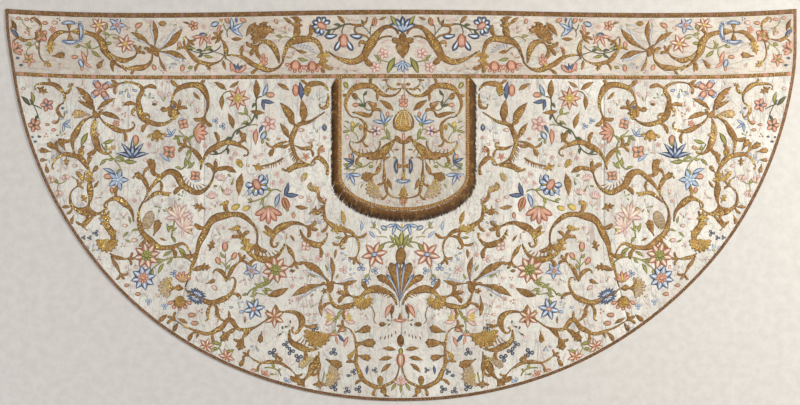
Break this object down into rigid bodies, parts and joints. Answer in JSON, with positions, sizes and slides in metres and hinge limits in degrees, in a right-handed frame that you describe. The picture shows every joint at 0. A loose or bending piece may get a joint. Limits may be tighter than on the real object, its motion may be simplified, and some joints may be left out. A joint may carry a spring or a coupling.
{
  "type": "cope vestment",
  "caption": "Half-round ceremonial cope laid flat: silk body with loom-width panels, orphrey band, fringed hood and gold galloon edging, embroidered with scrolls and flowers.",
  "frame": {"origin": "under the middle of the bounding box, on the surface that the cope lies on", "axes": "+X along the straight edge, +Y from the hem towards the straight edge, +Z out of the embroidered face"},
  "size_m": [2.9001, 1.437, 0.0048],
  "materials": {
    "silk": "ivory silk satin with raised gold and coloured silk embroidery",
    "galloon": "woven gold-brown galloon with rose blocks",
    "fringe": "dark gold twisted fringe"
  },
  "bodies": {
    "root": {"orphrey_left": "silk", "orphrey_right": "silk", "body_centre_left": "silk", "body_centre_right": "silk", "body_side_left": "silk", "body_side_right": "silk", "hood_left": "silk", "hood_right": "silk", "galloon_top_edge": "galloon", "galloon_orphrey": "galloon", "galloon_hem": "galloon", "galloon_hood": "galloon", "hood_fringe": "fringe"}
  },
  "joints": []
}
